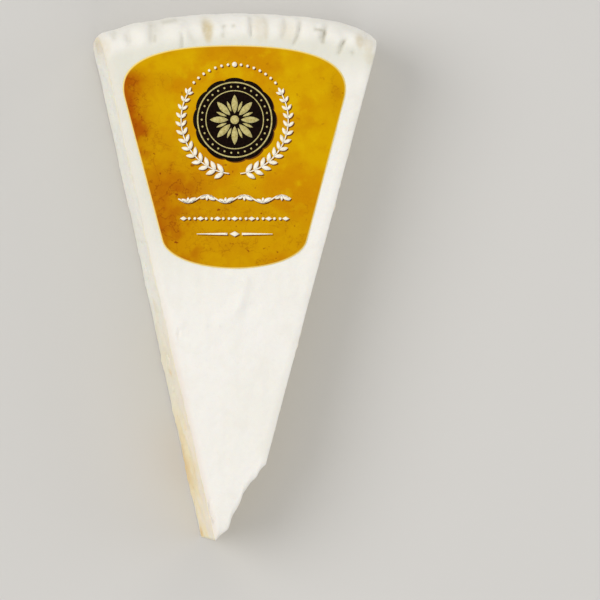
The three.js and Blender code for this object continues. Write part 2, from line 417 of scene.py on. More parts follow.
def stroke(x, y, start_x, start_y, end_x, end_y, half_width):
    """A bell across a straight stroke: exp(-(d/w)^2), with d the distance to the stroke."""
    run_x, run_y = end_x - start_x, end_y - start_y
    share = np.clip(((x - start_x) * run_x + (y - start_y) * run_y) / (run_x**2 + run_y**2), 0, 1)
    away = np.hypot(x - start_x - share * run_x, y - start_y - share * run_y)
    return np.exp(-((away / half_width) ** 2))


def patch(x, y, centre_x, centre_y, half_x, half_y):
    """A round bell: exp(-d^2), with d the distance in units of the half lengths."""
    return np.exp(-(((x - centre_x) / half_x) ** 2) - ((y - centre_y) / half_y) ** 2)


def strongest(shape, marks, x, y):
    """The strongest of some marks at each point, each a bell of one shape times its strength."""
    total = np.zeros_like(x)
    for *place, strength in marks:
        total = np.maximum(total, strength * shape(x, y, *place))
    return total


def label_outline():
    """The label's edge about the middle of its foot: straight tapered sides, one Bezier pair over the top
    and one under the foot, anticlockwise."""
    low, high = np.array(LABEL_SIDE_LOW, float), np.array(LABEL_SIDE_HIGH, float)
    side = (high - low) / np.linalg.norm(high - low)
    crown, heel = (LABEL_TOP_HANDLES[1], LABEL_LENGTH), low - side * LABEL_FOOT_HANDLES[0]
    foot = bezier(((0, 0), (LABEL_FOOT_HANDLES[1], 0), heel, low), 24)
    flank = low + (high - low) * np.linspace(0, 1, 31)[1:-1, None]
    top = bezier((high, high + side * LABEL_TOP_HANDLES[0], crown, (0, LABEL_LENGTH)), 44)
    half = np.concatenate([foot, flank, top])
    return np.concatenate([half, half[-2:0:-1] * (-1, 1)])


def label_share(x, y):
    """Where a point of the plan lies in the label: 0 at its middle, 1 at its edge, along a straight line."""
    edge = label_outline() - (0, LABEL_LENGTH / 2)
    turn, reach = np.arctan2(edge[:, 1], edge[:, 0]), np.hypot(edge[:, 0], edge[:, 1])
    order = np.argsort(turn)
    off_x, off_y = x - LABEL_CENTRE_X, y - LABEL_FOOT_Y - LABEL_LENGTH / 2
    at_edge = np.interp(np.arctan2(off_y, off_x), turn[order], reach[order], period=2 * np.pi)
    return np.hypot(off_x, off_y) / at_edge


def swell(x, y, z=WHEEL_THICKNESS):
    """The rind's slow rise and fall, which the label follows on the top: a sum of long waves."""
    return waves(stack(x, y, z), *SWELL)


def rim_creases(x, y, z):
    """The rim's creases: how far they sink, and the painted shade that darkens them. Each is steep on its
    left
    side and runs out gently on its right: -exp(-|d|^1.6), with d in narrow units on the left and wide ones
    on the right.
    A low lip stands to its left, and its two ends fade."""
    turn, radius = about_wheel(x, y)
    inward = WHEEL_RADIUS - radius
    lean = waves(stack(x, y, z), *CREASE_SWAY)
    sunk, painted_hollow_shade = np.zeros_like(x), np.zeros_like(x)
    for centre, start, end, depth, width, slant, painted_shade_strength in CREASES:
        ends = smoothstep(inward, start - 1.2, start + 1.2) * (1 - smoothstep(inward, end - 1.8, end + 1.2))
        off = (turn - math.radians(centre)) * WHEEL_RADIUS + slant * (inward - (start + end) / 2) + lean
        bell = np.exp(-(np.abs(off) / (width * np.where(off < 0, 0.65, 1.9))) ** 1.6)
        lip = np.exp(-((off / width + 1.9) ** 2) / 0.8)
        sunk += ends * depth * (0.3 * lip - bell)
        # Painted shade along the middle of each crease
        painted_hollow_shade = np.maximum(painted_hollow_shade, ends * painted_shade_strength * np.exp(-((off / width / 0.7) ** 2)))
    return sunk, painted_hollow_shade


def rind_relief(x, y, z, u, v):
    """Height of the rind over the plain wheel: slow swell, soft mottling and velvet; on the rim, creases and
    fine wrinkles that run over the shoulder; and the lumps and nicks of the top."""
    points = stack(x, y, z)
    bare = smoothstep(label_share(x, y), 0.985, 1.02)
    upper = smoothstep(v, -1, -0.6)
    fine = waves(points, *MOTTLE) + waves(points, *VELVET)
    for shape, marks in ((stroke, STROKES), (patch, LUMPS)):
        for *place, height in marks:
            fine = fine + upper * height * shape(x, y, *place)
    arc = stack(about_wheel(x, y)[0] * WHEEL_RADIUS, 0.12 * z, 0 * x)
    wrinkles = rim_creases(x, y, z)[0] + waves(arc, *WRINKLES)
    return swell(x, y, z) + bare * fine + wrinkles * rim_share(u, v) * upper


def rim_share(u, v):
    """How much of the rim's wrinkling shows: none on the flat top, all on the shoulder, less down the rim."""
    return smoothstep(u, 0.02, 0.4) * (0.15 + 0.85 * smoothstep(v, 0.1, 0.8))


def rind_place(x, y, u, v):
    """A point of the wheel's skin and the way it faces, after the rim's two corners have sunk: the plain
    superellipse moved in by the set-back and down by the drop, both fading with the distance squared."""
    off_x, radius = x - WHEEL_CENTRE_X, about_wheel(x, y)[1]
    face_out = u ** (SHOULDER_POWER - 1) / SHOULDER_WIDTH
    face_up = np.sign(v) * np.abs(v) ** (SHOULDER_POWER - 1) / (WHEEL_THICKNESS / 2)
    size = np.hypot(face_out, face_up)
    sink = u * np.maximum(0, 1 - np.minimum(*inside_cuts(x, y)) / CORNER_REACH) ** 2
    sink = sink * (0.45 + 0.55 * smoothstep(x, -5, 5))
    moved = 1 - CORNER_SET_BACK * sink / radius
    z = WHEEL_THICKNESS / 2 * (1 + v) - CORNER_DROP * sink * np.maximum(0, v)
    faces = stack(off_x / radius * face_out / size, y / radius * face_out / size, face_up / size)
    return stack(WHEEL_CENTRE_X + off_x * moved, y * moved, z), faces


def edge_roll(x, y, turn, along):
    """How far the rind's edge sinks beside a cut: a square fade from the cuts and from the tip's cut,
    deeper on the left where the edge is rolled."""
    rolled = smoothstep(-x, 5, 18) * smoothstep(y, 60, 85) * (1 - smoothstep(y, 110, 125))
    beside = np.minimum(np.minimum(*inside_cuts(x, y)), (along - tip_length(turn)) * 0.8)
    return (EDGE_ROLL + LEFT_EDGE_ROLL * rolled) * np.maximum(0, 1 - beside / EDGE_ROLL_WIDTH) ** 2


def make_upper(turn):
    """The top and the rim down to its widest line, as rows of points on the rays: even steps over the flat
    top, then the shoulder's profile."""
    u_rim, v_rim = shoulder_profile()
    u = np.concatenate([np.zeros(FLAT_ROWS), u_rim])[:, None] + 0 * turn
    v = np.concatenate([np.ones(FLAT_ROWS), v_rim])[:, None] + 0 * turn
    share = np.linspace(0, 1, FLAT_ROWS + 1)[:-1, None]
    near, far = tip_length(turn), ray_length(turn, WHEEL_RADIUS - SHOULDER_WIDTH)
    rim = ray_length(turn, WHEEL_RADIUS - SHOULDER_WIDTH * (1 - u_rim[:, None]))
    return np.concatenate([near + share * (far - near), rim]), u, v


def wring(points):
    """Leans the left cut a little: its top edge moves right near the tip, and its foot right near the rim.
    Both fade out within a few millimetres of the cut."""
    x, y, z = points[..., 0], points[..., 1], points[..., 2]
    beside = np.exp(-inside_cuts(x, y)[0] / 5)
    height = z / WHEEL_THICKNESS
    top = TOP_EDGE_SHIFT * (1 - smoothstep(y, 30, 95)) * height
    foot = FOOT_SHIFT * smoothstep(y, 60, 115) * (1 - height)
    moved = points.copy()
    moved[..., 0] += beside * (top + foot)
    return moved


def lay_rind(turn, along, u, v):
    """The skin's finished points: each moved along its facing by its relief, less the roll of the edges.
    Underneath, nothing stands out of the plane that the wheel lies on."""
    x, y = along * np.sin(turn), along * np.cos(turn)
    points, faces = rind_place(x, y, u, v)
    relief = rind_relief(points[..., 0], points[..., 1], points[..., 2], u, v)
    above = smoothstep(v, -0.95, -0.4)
    relief = relief - edge_roll(x, y, turn, along) * (0.35 + 0.65 * above)
    relief = np.where(above < 1, np.minimum(relief, 0.3 * above), relief)
    placed = points + faces * relief[..., None]
    placed[..., 2] = np.maximum(placed[..., 2], 0)
    return wring(placed)


def rind_values(x, y, z, u, v):
    """The rind's tones, from 0 to 1: tan marks, wider above than below; painted shade in the creases, nicks
    and dents; painted shade beside the label's left edge and by the rim; and painted shade with a pink cast
    where the left cut's edge rolls over."""
    tan = np.zeros_like(x)
    for centre_x, centre_y, half_x, half_y, strength in TAN_MARKS:
        up = (y - centre_y) / half_y
        far = ((x - centre_x) / half_x / (1 + 0.3 * np.clip(up, -1, 1))) ** 2 + up**2
        tan = np.maximum(tan, strength * np.exp(-(far**2)))
    # Painted shade, olive-grey, in the rim's creases and in the top's nicks and dents
    painted_hollow_shade = np.maximum(rim_creases(x, y, z)[1] * rim_share(u, v), strongest(stroke, PAINTED_SHADE_MARKS, x, y))
    # Painted shade: greyer on the top beside the label's left edge and by the rim, less down the shoulder
    painted_shade = np.maximum(smoothstep(y, 86, 124) * smoothstep(-x, 2, 22), smoothstep(y, 156, 166))
    # Painted shade with a pink cast along the left cut's rolled edge, strongest towards the tip
    tint = np.exp(-((inside_cuts(x, y)[0] / 1.5) ** 2)) * (0.3 + 0.7 * (1 - smoothstep(y, 62, 104)))
    return {"tan": tan, "painted_hollow_shade": painted_hollow_shade, "painted_shade": painted_shade * (1 - 0.8 * smoothstep(u, 0.1, 0.5)), "tint": tint}


def rind_depth(points):
    """How deep a point of a cut lies under the rind: (1 - g) over the slope of g, where g is the root of
    u^p + v^p for the rim's superellipse."""
    radius = about_wheel(points[..., 0], points[..., 1])[1]
    u = np.clip((radius - WHEEL_RADIUS + SHOULDER_WIDTH) / SHOULDER_WIDTH, 1e-6, 1)
    v = np.clip(np.abs(points[..., 2] / (WHEEL_THICKNESS / 2) - 1), 1e-6, 1)
    g = (u**SHOULDER_POWER + v**SHOULDER_POWER) ** (1 / SHOULDER_POWER)
    slope_u = (u / g) ** (SHOULDER_POWER - 1) / SHOULDER_WIDTH
    slope_v = (v / g) ** (SHOULDER_POWER - 1) * 2 / WHEEL_THICKNESS
    return np.maximum(1 - g, 0) / np.hypot(slope_u, slope_v)


def eyes(along, height, seed, count, reach):
    """Small slit-like eyes in the paste: seeded places along a cut, each a tilted wedge, wider at one end:
    1 - smoothstep of (a/long)^2 + (b/high)^2, with high growing along the slit."""
    draw = np.random.default_rng(seed)
    total = np.zeros_like(along)
    for _ in range(count):
        at, up = draw.uniform(*reach), draw.triangular(*EYE_HEIGHTS)
        half_long = draw.triangular(*EYE_SIZES)
        half_high, slope = 0.25 + half_long * draw.uniform(0.15, 0.35), draw.uniform(-0.9, 0.9)
        off_long, off_high = along - at, height - up
        turned_long = (off_long + slope * off_high) / math.hypot(1, slope) / half_long
        turned_high = (off_high - slope * off_long) / math.hypot(1, slope) / half_high
        turned_high = turned_high / (1 + 0.5 * np.clip(turned_long, -1, 1))
        total = np.maximum(total, 1 - smoothstep(turned_long**2 + turned_high**2, 0.1, 1.6))
    return total


def paste_relief(along, points, height_share, from_corner, seed, eye_value):
    """How far the paste stands out of a plain cut: a soft belly between the rinds, lumps, the knife's fine
    drag lines down the face, and sunk eyes; all fade out at the face's edges."""
    belly = CUT_BELLY * (1 - np.abs(2 * height_share - 1) ** 3)
    lumps = waves(points, *PASTE_LUMPS, seed) + waves(points, *PASTE_GRAIN, seed + 1)
    drag = waves(stack(along, 0.06 * points[..., 2], 0 * along), *KNIFE_DRAG, seed + 2)
    inside = np.minimum(height_share, 1 - height_share) * WHEEL_THICKNESS
    fade = (1 - np.exp(-inside / 0.8)) * (1 - np.exp(-from_corner / 1.5))
    return (belly + lumps + drag - EYE_DEPTH * eye_value) * fade


def cut_values(points, along, share, whitened):
    """A cut's tones, from 0 to 1: whitened towards the rim, warm towards the tip, and smeared with rind down
    from its top edge; and how deep each point lies under the rind."""
    bloomed = whitened * smoothstep(along + waves(points, *BLOOM_EDGE), *BLOOMED)
    warm = np.maximum(smoothstep(-along, -WARM[0], -WARM[1]), 0.6 * (1 - whitened))
    wider = 0.22 * (1 - smoothstep(along, 24, 42))
    smear = 1 - smoothstep(share - wider + waves(points, *SMEAR_EDGE), 0.05, 0.5)
    return {
        "rind_depth": rind_depth(points),
        "bloomed": bloomed,
        "warm": warm,
        "smear": smear * (1 - 0.7 * bloomed) * (0.3 + 0.7 * whitened),
    }


def make_cut_face(skin, top, bottom, corner, turn, side, seed, whitened, aged, tan):
    """A long cut between two edges, each given as points and vertex numbers: straight lines down from the
    top's edge to the bottom's, moved out along the cut's facing. They close to one vertex at the rim."""
    (top_points, top_numbers), (bottom_points, bottom_numbers) = top, bottom
    share = np.linspace(0, 1, FACE_STEPS + 1)[None, 1:-1]
    upper, lower = top_points[:-1, None], bottom_points[:-1, None]
    plain = upper + (lower - upper) * share[..., None]
    along, height = np.hypot(plain[..., 0], plain[..., 1]), plain[..., 2]
    tall = (upper[..., 2] - lower[..., 2]) / WHEEL_THICKNESS
    eye_value = eyes(along, height, seed, LONG_CUT_EYES, LONG_CUT_EYE_REACH)
    out = paste_relief(along, plain, share + 0 * along, along - along[:1], seed, eye_value)
    outward = np.append(along_cut(turn + np.pi / 2, side), 0)
    points = plain + outward * (out * smoothstep(tall, *CORNER_FADE))[..., None]

    values = cut_values(plain, along, share, whitened)
    values.update(
        eye=eye_value, aged=strongest(patch, aged, along, height), tan=strongest(patch, tan, along, height)
    )
    inner = skin.add(points[1:], **{name: value[1:] for name, value in values.items()})

    turned = side < 0
    rows = np.concatenate([top_numbers[1:-1, None], inner, bottom_numbers[1:-1, None]], axis=1)
    rows = np.concatenate([corner[None], rows])
    skin.grid(rows, PASTE, turned)
    apex, below = np.full(FACE_STEPS, top_numbers[-1]), rows[-1, 1:]
    skin.triangles(rows[-1, :-1], *((apex, below) if turned else (below, apex)), PASTE)


def make_tip_face(top, bottom):
    """The tip's cut, as rows of points and their tones: straight lines down from the top's edge to the
    bottom's, moved out square to the top's edge by a low relief."""
    share = np.linspace(0, 1, FACE_STEPS + 1)[1:-1, None]
    plain = top + (bottom - top) * share[..., None]
    tangent = np.gradient(top[:, :2], axis=0)
    tangent /= np.linalg.norm(tangent, axis=1, keepdims=True)
    outward = stack(tangent[:, 1], -tangent[:, 0], 0 * tangent[:, 0])
    across = np.append(0, np.linalg.norm(np.diff(top[:, :2], axis=0), axis=1).cumsum())
    reach = (TIP_EYE_MARGIN, across[-1] - TIP_EYE_MARGIN)
    from_corner = np.minimum(across, across[-1] - across)
    across, from_corner, share = np.broadcast_arrays(across, from_corner, share)
    eye_value = eyes(across, plain[..., 2], TIP_SEED, TIP_EYES, reach)
    out = TIP_RELIEF * paste_relief(across, plain, share, from_corner, TIP_SEED + 2, eye_value)
    values = cut_values(plain, np.full(share.shape, TIP_ALONG), share, 0)
    return plain + outward * out[..., None], {**values, "eye": eye_value}


def make_wedge(materials):
    """One closed skin. Each ray from the cuts' meeting point carries the same closed profile: along the
    top, round the rim, back underneath and up the tip's cut. The two long cuts close its ends."""
    skin = Skin()
    turn = np.linspace(LEFT_CUT, RIGHT_CUT, COLUMNS + 1)
    along, u, v = make_upper(turn)
    upper = lay_rind(turn, along, u, v)
    upper_numbers = skin.add(upper, **rind_values(upper[..., 0], upper[..., 1], upper[..., 2], u, v))
    skin.grid(upper_numbers)
    lower = lay_rind(turn, along, u, -v)[::-1][1:]
    under = skin.thinning_rows(upper_numbers[-1:], lower, HALVING_ROWS)
    tip_points, tip_values = make_tip_face(upper[0], lower[-1])
    tip = skin.thinning_rows(
        upper_numbers[:1], tip_points, TIP_HALVING_ROWS, under[-1][-1:], PASTE, turned=True, values=tip_values
    )
    lower = np.concatenate([upper[-1:], lower])[::-1]
    for column, *cut in LONG_CUTS:
        lower_numbers = np.concatenate([band[:, column] for band in under])[::-1]
        corner = np.concatenate([band[:, column] for band in tip])
        top, bottom = (upper[:, column], upper_numbers[:, column]), (lower[:, column], lower_numbers)
        make_cut_face(skin, top, bottom, corner, *cut)
    return skin.make("brie_wedge", materials)


# The paper label and its print


def paper_top(x, y):
    """The height of the paper's upper side: the top's slow swell plus the paper's thickness."""
    return WHEEL_THICKNESS + swell(x, y) + PAPER_THICKNESS - PAPER_SUNK


def add_slab(skin, outline, centre, rings, lift, thickness, values=None):
    """A thin closed sheet on the paper, inside a star-shaped outline: rings shrink from the edge to a middle
    vertex, on the upper side and the lower side, and the edge joins them."""
    share = np.linspace(1, 0, rings + 1)[:-1, None, None]
    flat = centre + (outline[None] - centre) * share
    x, y = flat[..., 0], flat[..., 1]
    height = paper_top(x, y) + lift
    middle = paper_top(np.array(centre[0]), np.array(centre[1])) + lift
    ring_values = values(x, y) if values else {}
    middle_values = values(*(np.array([part]) for part in centre)) if values else {}
    top = skin.add(stack(x, y, height), **ring_values)
    low = skin.add(stack(x, y, height - thickness), **ring_values)
    top_middle = skin.add(stack(*centre, middle)[None], **middle_values)
    low_middle = skin.add(stack(*centre, middle - thickness)[None], **middle_values)
    top = np.concatenate([top, top[:, :1]], axis=1)
    low = np.concatenate([low, low[:, :1]], axis=1)
    skin.grid(np.concatenate([low[::-1], top]))
    skin.triangles(top[-1, :-1], top[-1, 1:], np.full(len(outline), top_middle[0]))
    skin.triangles(low[-1, 1:], low[-1, :-1], np.full(len(outline), low_middle[0]))


def add_band(skin, line, half_width, lift, closed=False):
    """A flat printed line: at each station a closed loop of four corners, to the left and right of the line,
    at the print's top and foot. A closed line joins its ends, and an open one has its ends filled."""
    if closed:
        tangent = np.roll(line, -1, axis=0) - np.roll(line, 1, axis=0)
    else:
        tangent = np.gradient(line, axis=0)
    tangent = tangent / np.linalg.norm(tangent, axis=1, keepdims=True)
    side = stack(-tangent[:, 1], tangent[:, 0]) * np.reshape(half_width, (-1, 1))
    across = np.stack([line + side, line - side, line - side, line + side], axis=1)
    height = paper_top(across[..., 0], across[..., 1]) + lift - PRINT_THICKNESS * np.array([0, 0, 1, 1])
    loops = skin.add(stack(across[..., 0], across[..., 1], height))
    sides = np.concatenate([loops, loops[:, :1]], axis=1)
    if closed:
        skin.grid(np.concatenate([sides, sides[:1]]))
        return
    skin.grid(sides)
    for a, b, c, d in (loops[0, ::-1], loops[-1]):
        skin.triangles(np.array([a, a]), np.array([b, c]), np.array([c, d]))


def circle(centre, radius, steps):
    """Points at equal turns about a centre. The radius may change with the turn."""
    turn = np.linspace(0, 2 * np.pi, steps, endpoint=False)
    return np.array(centre) + stack(np.cos(turn), np.sin(turn)) * np.reshape(radius, (-1, 1))


def leaf(foot, turn, length, width):
    """A leaf's outline and its middle: half-width times sin(pi t)^0.8 on both sides of a straight rib."""
    t = np.linspace(0, 1, 10)
    half = width / 2 * np.sin(np.pi * t) ** 0.8
    there, back = stack(t * length, -half), stack(t * length, half)[-2:0:-1]
    spin = np.array([[math.cos(turn), math.sin(turn)], [-math.sin(turn), math.cos(turn)]])
    return np.concatenate([there, back]) @ spin + foot, np.array([length / 2, 0]) @ spin + foot


def add_print(skin, outline, centre, lift, rings=1):
    """A flat patch of print inside an outline."""
    add_slab(skin, outline, centre, rings, lift, PRINT_THICKNESS)


def add_dot(skin, centre, radius, lift, steps=12):
    """A round dot of print."""
    add_print(skin, circle(centre, radius, steps), centre, lift)


def add_lozenge(skin, centre, half_sizes, lift):
    """A lozenge of print, with its corners at its half length and half height."""
    add_print(skin, circle(centre, np.array(half_sizes * 2), 4), centre, lift)


def make_label(material):
    """The paper: a closed sheet inside the label's outline."""
    outline = label_outline() + (LABEL_CENTRE_X, LABEL_FOOT_Y)
    centre = np.array([LABEL_CENTRE_X, LABEL_FOOT_Y + LABEL_LENGTH / 2])
    skin = Skin()
    add_slab(skin, outline, centre, PAPER_RINGS, 0, PAPER_THICKNESS, paper_values)
    return skin.make("paper_label", [material])


def paper_values(x, y):
    """How near the paper's edge a point lies, and how browned it is: most along the upper left edge, less in
    the lower left and by the top right corner, with a light wash over the foot."""
    share = label_share(x, y)
    off_x, off_y = x - LABEL_CENTRE_X, y - LABEL_FOOT_Y
    up_left = (0.1 + 1.1 * smoothstep(off_y, 28, 46)) * (1 - smoothstep(off_y, 55, 62))
    left = up_left * np.exp(-(1 - share) / 0.17) * smoothstep(-off_x, 4, 20)
    low_left = 0.5 * patch(off_x, off_y, -19, 20, 12, 18)
    wash = (0.33 + 0.13 * smoothstep(-off_x, 6, 16)) * (1 - smoothstep(off_y, 10, 36))
    right = 0.35 * patch(off_x, off_y, 31, 52, 4, 9)
    middle = 0.16 * patch(off_x, off_y, -4, 26, 12, 9)
    return {"edge": 1 - share, "browned": np.clip(left + np.maximum(low_left, wash) + right + middle, 0, 1)}


def medallion_edge():
    """The dark medallion's scalloped edge: a circle with a round lobe for each scallop, |cos|^0.6."""
    turn = np.linspace(0, 2 * np.pi, MEDALLION_STEPS, endpoint=False)
    lobes = SCALLOP_DEPTH * np.abs(np.cos(SCALLOPS / 2 * turn)) ** 0.6
    return circle(MEDALLION_CENTRE, MEDALLION_RADIUS - SCALLOP_DEPTH + lobes, MEDALLION_STEPS)


def off_medallion(radius, turn):
    """The point of the plan at a radius and a turn, from +X, about the medallion's centre."""
    return np.array(MEDALLION_CENTRE) + radius * np.array([math.cos(turn), math.sin(turn)])


def wreath_leaves():
    """The leaves of two branches that bow round the medallion from its foot: pairs of leaves at equal steps,
    smaller towards the end, leaning out and in from the branch."""
    leaves, stems = [], []
    for side in (-1, 1):
        for step, at in enumerate(np.radians(np.linspace(*WREATH_SWEEP, WREATH_PAIRS))):
            size = 1 - 0.45 * step / WREATH_PAIRS
            here = np.array(MEDALLION_CENTRE) + WREATH_RADIUS * np.array([side * np.sin(at), -np.cos(at)])
            ahead = math.atan2(math.sin(at), side * math.cos(at))
            for lean in (LEAF_LEAN, -LEAF_LEAN):
                leaves.append(leaf(here, ahead + lean, *(part * size for part in WREATH_LEAF)))
        leaves.append(leaf(here, ahead, *WREATH_END_LEAF))
        stem = np.radians(np.linspace(WREATH_SWEEP[0] - 6, WREATH_SWEEP[1], 60))
        stems.append(np.array(MEDALLION_CENTRE) + WREATH_RADIUS * stack(side * np.sin(stem), -np.cos(stem)))
    return leaves, stems


def vine_leaves():
    """A low waving vine: a sine line, with three leaves off each crest and trough."""
    x = np.linspace(-VINE_HALF_LENGTH, VINE_HALF_LENGTH, 160)
    waves_along = np.pi * VINE_WAVES / VINE_HALF_LENGTH
    origin = np.array([LABEL_CENTRE_X, VINE_Y])
    line = origin + stack(x, VINE_HEIGHT * np.sin(x * waves_along))
    leaves = []
    for step in range(-2 * VINE_WAVES + 1, 2 * VINE_WAVES, 2):
        at = step * VINE_HALF_LENGTH / VINE_WAVES / 2
        rise = math.sin(at * waves_along)
        for turn, swing, length, width in VINE_LEAVES:
            leaves.append(leaf(origin + (at, VINE_HEIGHT * rise), turn + swing * rise, length, width))
    return leaves, line


def add_cream_print(skin, shift=0, lift=CREAM_LIFT):
    """The wreath, the vine, a row of beads and lozenges, a short rule and an arc of dots, with a shift."""
    wreath, stems = wreath_leaves()
    vine, vine_line = vine_leaves()
    for outline, centre in wreath + vine:
        add_print(skin, outline + shift, centre + shift, lift)
    for stem in stems:
        add_band(skin, stem + shift, STEM_HALF_WIDTH, lift)
    add_band(skin, vine_line + shift, VINE_HALF_WIDTH, lift)
    for step in range(-BEADS, BEADS + 1):
        centre = np.array([LABEL_CENTRE_X + step * BEAD_PITCH, BEAD_Y]) + shift
        if step % 3 == 0:
            add_lozenge(skin, centre, BEAD_LOZENGE, lift)
        else:
            add_dot(skin, centre, BEAD_RADIUS, lift)
    rule_middle = np.array([LABEL_CENTRE_X, RULE_Y]) + shift
    near, far = RULE_REACH
    for side in (-1, 1):
        rule = np.linspace((side * near, 0), (side * far, 0), 12) + rule_middle
        add_band(skin, rule, np.linspace(*RULE_HALF_WIDTHS, 12), lift)
    add_lozenge(skin, rule_middle, RULE_LOZENGE, lift)
    for step, at in enumerate(np.radians(np.linspace(90 + TOP_ARC, 90 - TOP_ARC, TOP_DOTS))):
        radius = MIDDLE_DOT_RADIUS if step == TOP_DOTS // 2 else DOT_RADIUS
        add_dot(skin, off_medallion(WREATH_RADIUS + DOT_RADIUS, at) + shift, radius, lift)


def add_shade_print(skin):
    """The shade under the cream print and the medallion: their shapes again, shifted."""
    shift = np.array(SHADE_SHIFT)
    add_cream_print(skin, shift, SHADE_LIFT)
    add_print(skin, medallion_edge() + shift, MEDALLION_CENTRE + shift, MEDALLION_SHADE_LIFT, 12)


def add_dark_print(skin):
    """The medallion's dark ground."""
    add_print(skin, medallion_edge(), np.array(MEDALLION_CENTRE), DARK_LIFT, 14)


def add_gold_print(skin):
    """The medallion's gold: two rings with beads between them, and a rosette of long and short petals."""
    for radius, half_width in GOLD_RINGS:
        add_band(skin, circle(MEDALLION_CENTRE, radius, 120), half_width, GOLD_LIFT, closed=True)
    beads, bead_circle, bead_radius = RING_BEADS
    for centre in circle(MEDALLION_CENTRE, bead_circle, beads):
        add_dot(skin, centre, bead_radius, GOLD_LIFT, 10)
    for step in range(PETAL_COUNT):
        turn = step * 2 * math.pi / PETAL_COUNT
        foot, length, width = PETALS[step % 2]
        add_print(skin, *leaf(off_medallion(foot, turn), turn, length, width), GOLD_LIFT)
    add_print(skin, circle(MEDALLION_CENTRE, BOSS_RADIUS, 24), np.array(MEDALLION_CENTRE), GOLD_LIFT, 2)


# The prints in the order that they are laid, as [name, maker, ink's name, its two tones, roughness, gloss]
PRINTS = (
    ("label_print_shade", add_shade_print, "brown_ink", (128, 74, 4), (112, 60, 6), 0.5, 0.1),
    ("label_print_dark", add_dark_print, "dark_ink", (13, 5, 2), (26, 12, 7), 0.45, 0.04),
    ("label_print_gold", add_gold_print, "gold_ink", (206, 194, 130), (176, 160, 92), 0.45, 0.1),
    ("label_print_cream", add_cream_print, "cream_ink", (255, 250, 234), (244, 232, 204), 0.5, 0.1),
)


# Materials


def colour(red, green, blue):
    """A screen colour, 0 to 255, as linear light."""
    parts = np.array([red, green, blue]) / 255
    linear = np.where(parts <= 0.04045, parts / 12.92, ((parts + 0.055) / 1.055) ** 2.4)
    return (*linear, 1)


class Nodes:
    """Short ways to place and join the nodes of one tree."""

    def __init__(self, tree):
        self.tree = tree

    def feed(self, node, inputs):
        """Joins sockets to a node's inputs, or sets them to plain values."""
        for name, value in inputs.items():
            if isinstance(value, bpy.types.NodeSocket):
                self.tree.links.new(value, node.inputs[name])
            else:
                node.inputs[name].default_value = value
        return node

    def add(self, kind, inputs, **settings):
        """Places a node of a kind, with its settings and its inputs."""
        node = self.tree.nodes.new(kind)
        for name, value in settings.items():
            setattr(node, name, value)
        return self.feed(node, inputs)

    def noise(self, vector, scale, detail=3.0, roughness=0.55):
        """Cloudy noise at a place, from 0 to 1: more waves to the metre with a greater scale."""
        inputs = {"Vector": vector, "Scale": scale, "Detail": detail, "Roughness": roughness}
        return self.add("ShaderNodeTexNoise", inputs).outputs["Fac"]

    def span(self, value, low, high, start=0.0, end=1.0):
        """The value's part between low and high, spread smoothly over start to end."""
        inputs = {"Value": value, "From Min": low, "From Max": high, "To Min": start, "To Max": end}
        return self.add("ShaderNodeMapRange", inputs, interpolation_type="SMOOTHSTEP").outputs["Result"]

    def math(self, operation, first, second=0.0):
        """One sum of two values, named as Blender names it."""
        return self.add("ShaderNodeMath", {0: first, 1: second}, operation=operation).outputs[0]

    def times(self, first, second):
        """The product of two values."""
        return self.math("MULTIPLY", first, second)

    def mix(self, share, first, second):
        """A colour between two: the first where the share is 0, the second where it is 1."""
        return self.add("ShaderNodeMix", {0: share, 6: first, 7: second}, data_type="RGBA").outputs[2]

    def coats(self, tone, *coats):
        """Lays tones over one another, each as [mask, screen colour]."""
        for mask, screen in coats:
            tone = self.mix(mask, tone, colour(*screen))
        return tone

    def value(self, name):
        """One of the mesh's own values."""
        return self.add("ShaderNodeAttribute", {}, attribute_name=name).outputs["Fac"]

    def place(self):
        """Where a point of the piece is, in metres."""
        return self.add("ShaderNodeTexCoord", {}).outputs["Object"]

    def bloom(self, group, place):
        """The rind's white bloom at a place: its colour and its height."""
        outputs = self.add("ShaderNodeGroup", {"Place": place}, node_tree=group).outputs
        return outputs["Colour"], outputs["Height"]

    def finish(self, tone, height, strength, distance, others):
        """Feeds the tree's shader: its colour, a bump of the height, and others by their sockets' names."""
        inputs = {"Strength": strength, "Distance": distance, "Height": height}
        normal = self.add("ShaderNodeBump", inputs).outputs["Normal"]
        self.feed(self.tree.nodes["Principled BSDF"], {"Base Color": tone, "Normal": normal, **others})


def new_material(name):
    """A material with its nodes, ready for its finish."""
    material = bpy.data.materials.new(name)
    material.use_nodes = True
    return material, Nodes(material.node_tree)


def make_bloom_group():
    """The white bloom of the rind, for the rind itself and for its edge on the cuts: three tones by noises
    of falling size, and a velvety height."""
    group = bpy.data.node_groups.new("white_bloom", "ShaderNodeTree")
    for name, way, kind in (
        ("Place", "INPUT", "Vector"), ("Colour", "OUTPUT", "Color"), ("Height", "OUTPUT", "Float"),
    ):
        group.interface.new_socket(name, in_out=way, socket_type="NodeSocket" + kind)
    nodes = Nodes(group)
    place = group.nodes.new("NodeGroupInput").outputs["Place"]
    broad, patchy, fine = nodes.noise(place, 30), nodes.noise(place, 150), nodes.noise(place, 900, 2)
    tone = nodes.coats(
        colour(243, 240, 233),
        (nodes.span(broad, 0.35, 0.68), (240, 237, 228)),
        (nodes.span(patchy, 0.45, 0.72, 0, 0.4), (236, 232, 222)),
        (nodes.span(fine, 0.55, 0.8, 0, 0.2), (228, 224, 214)),
    )
    height = nodes.math("ADD", nodes.times(fine, 0.6), nodes.times(nodes.noise(place, 2400, 3), 0.4))
    nodes.feed(group.nodes.new("NodeGroupOutput"), {"Colour": tone, "Height": height})
    return group


